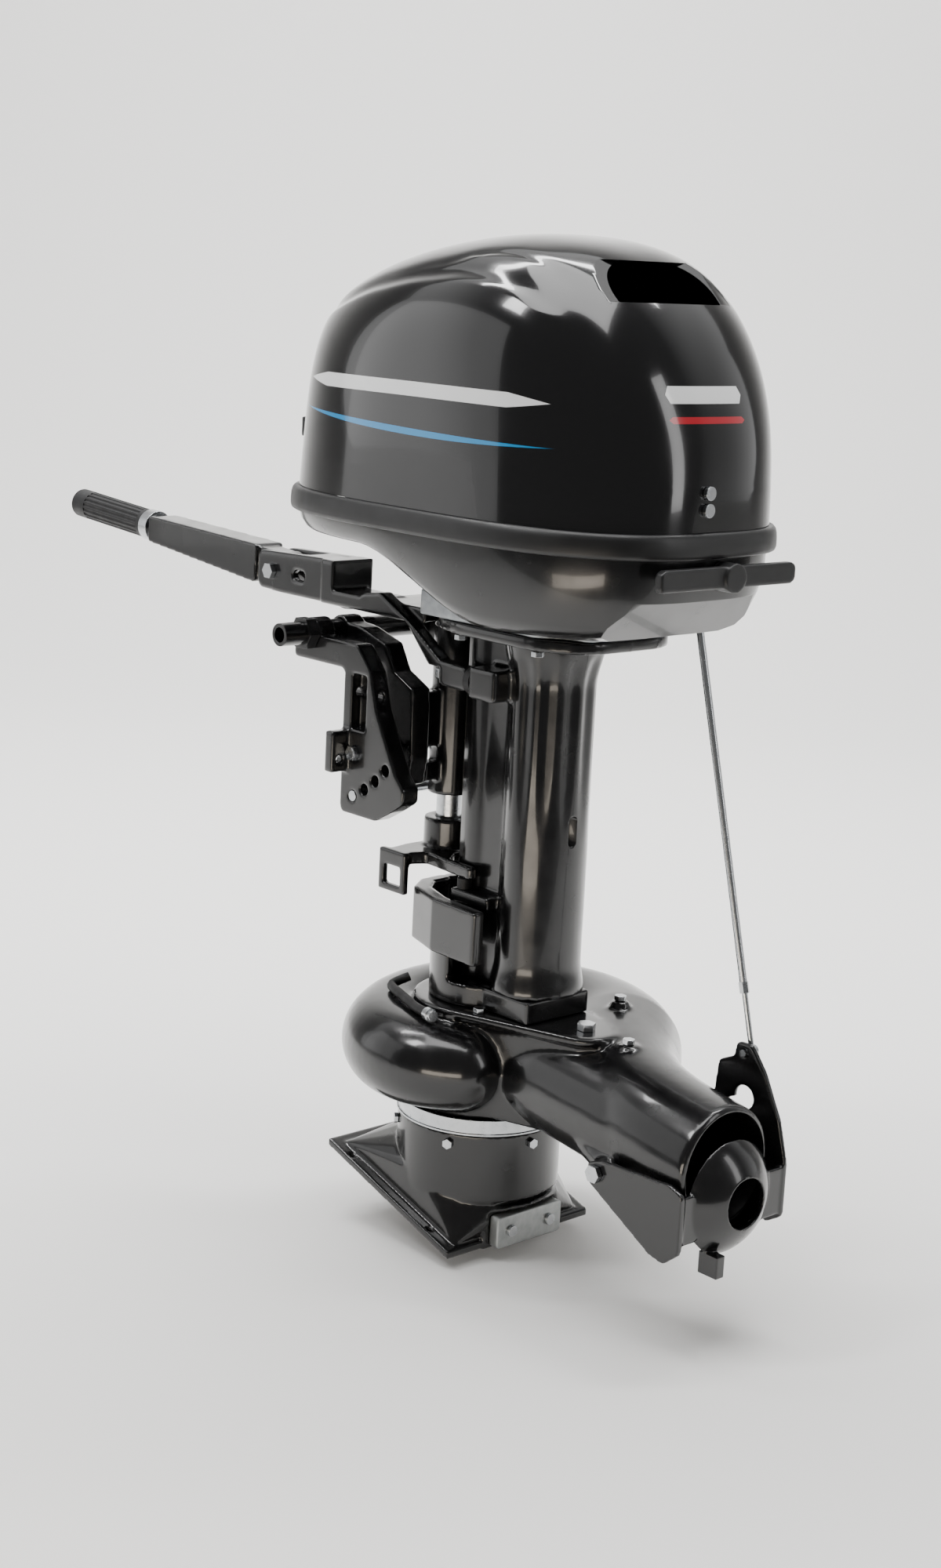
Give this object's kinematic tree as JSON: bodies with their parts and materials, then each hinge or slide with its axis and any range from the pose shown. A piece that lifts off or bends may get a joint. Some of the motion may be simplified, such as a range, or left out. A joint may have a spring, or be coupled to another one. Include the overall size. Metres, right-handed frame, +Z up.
{
  "type": "outboard motor",
  "caption": "Tiller-steered outboard motor with a side-discharge jet pump: engine under a lift-off cowl, driveshaft housing, intake scoop, reverse gate and a bolt-on transom bracket.",
  "frame": {"origin": "midway between the two lower transom bolts, on the face that rests on the transom", "axes": "+Z up, +X aft (away from the boat), +Y to starboard; the transom face is the plane x = 0"},
  "size_m": [1.1762, 0.3902, 1.1067],
  "materials": {
    "gloss_cowl": "high gloss black gelcoat",
    "black_paint": "gloss black enamel on cast aluminium",
    "black_plastic": "satin black moulding",
    "white_plastic": "natural nylon or glazed ceramic",
    "rubber": "black moulded rubber",
    "stainless": "plain stainless steel",
    "zinc": "dull cast sacrificial alloy",
    "cast_aluminium": "bare cast aluminium"
  },
  "bodies": {
    "clamp": {"clamp_bracket_port": "black_paint", "clamp_bracket_starboard": "black_paint", "tilt_tube": "black_paint", "tilt_tube_nuts": "black_paint", "bracket_stay": "stainless"},
    "trim": {"trim_pin": "stainless"},
    "swivel": {"swivel_bracket": "black_paint", "swivel_bushes": "black_plastic"},
    "motor": {"steering_shaft": "stainless", "steering_arm": "black_paint", "lower_yoke": "black_paint", "lower_mount_covers": "black_paint", "mount_rubbers": "rubber", "mount_bolts": "stainless", "driveshaft_housing": "black_paint", "exhaust_tube": "cast_aluminium", "pump_neck": "black_paint", "jet_casing": "black_paint", "impeller_liner": "stainless", "intake_casing": "black_paint", "intake_grille": "black_paint", "anode": "zinc", "anode_screws": "stainless", "pump_bolts": "stainless", "liner_bolts": "stainless", "pump_bearing": "cast_aluminium", "grease_hose": "rubber", "hose_fittings": "stainless", "engine_base": "cast_aluminium", "lower_cowl": "black_paint", "cylinder_block": "cast_aluminium", "cylinder_head": "cast_aluminium", "spark_plugs": "white_plastic", "carburetor": "cast_aluminium", "air_silencer": "black_plastic", "recoil_housing": "black_plastic", "gate_pivots": "stainless", "lever_spindle": "stainless", "tiller_pivot": "stainless"},
    "rotor": {"driveshaft": "stainless", "crankshaft": "stainless", "flywheel": "cast_aluminium", "impeller": "stainless"},
    "tiller": {"tiller_arm": "black_paint", "grip_collar": "stainless"},
    "throttle": {"throttle_grip": "rubber"},
    "friction": {"friction_lever": "black_plastic"},
    "cowl": {"top_cowl": "gloss_cowl", "rim_seal": "black_plastic", "cowl_intake_duct": "black_plastic", "cowl_screws": "stainless"},
    "latch": {"cowl_latch": "black_plastic", "latch_spindle": "stainless"},
    "starter": {"starter_handle": "black_plastic"},
    "gate": {"reverse_gate": "black_paint"},
    "link": {"gate_link_rod": "stainless"},
    "lever": {"shift_lever": "cast_aluminium"}
  },
  "joints": [
    {"name": "tilt", "type": "hinge", "parent": "clamp", "child": "swivel", "pos_m": [-0.062, 0, 0.13], "axis": [0, -1, 0], "range_deg": [0, 60]},
    {"name": "steer", "type": "hinge", "parent": "swivel", "child": "motor", "pos_m": [0.055, 0, 0], "axis": [0, 0, 1], "range_deg": [-35, 35]},
    {"name": "trim_pin_pull", "type": "slide", "parent": "clamp", "child": "trim", "axis": [0, 1, 0], "range_m": [0, 0.25]},
    {"name": "rotor_spin", "type": "hinge", "parent": "motor", "child": "rotor", "pos_m": [0.131, 0, 0], "axis": [0, 0, -1], "continuous": true},
    {"name": "tiller_fold", "type": "hinge", "parent": "motor", "child": "tiller", "pos_m": [-0.205, -0.036, 0.178], "axis": [0, 1, 0], "range_deg": [0, 60]},
    {"name": "throttle_twist", "type": "hinge", "parent": "tiller", "child": "throttle", "pos_m": [-0.205, -0.036, 0.178], "axis": [-0.9976, 0, 0.0698], "range_deg": [0, 90]},
    {"name": "friction_adjust", "type": "hinge", "parent": "motor", "child": "friction", "pos_m": [-0.092, -0.036, 0.145], "axis": [0, 0, 1], "range_deg": [-30, 30]},
    {"name": "latch_turn", "type": "hinge", "parent": "motor", "child": "latch", "pos_m": [0.4259, 0.011, 0.253], "axis": [1, 0, 0], "range_deg": [0, 25]},
    {"name": "cowl_lift", "type": "slide", "parent": "motor", "child": "cowl", "axis": [0, 0, 1], "range_m": [0, 0.3]},
    {"name": "starter_pull", "type": "slide", "parent": "motor", "child": "starter", "axis": [-1, 0, 0], "range_m": [0, 0.3], "stiffness_N_per_m": 40, "springref_m": -0.1},
    {"name": "gate_swing", "type": "hinge", "parent": "motor", "child": "gate", "pos_m": [0.393, 0, -0.372], "axis": [0, 1, 0], "range_deg": [0, 22]},
    {"name": "link_swing", "type": "hinge", "parent": "gate", "child": "link", "pos_m": [0.447, 0.092, -0.256], "axis": [0, 1, 0], "range_deg": [-26, 0]},
    {"name": "lever_swing", "type": "hinge", "parent": "motor", "child": "lever", "pos_m": [0.385, 0.081, 0.229], "axis": [0, 1, 0], "range_deg": [-36, 0]}
  ],
  "couplings": [
    {"joint": "link_swing", "follows": "gate_swing", "ratio": -1.1156},
    {"joint": "lever_swing", "follows": "gate_swing", "ratio": -1.602}
  ]
}
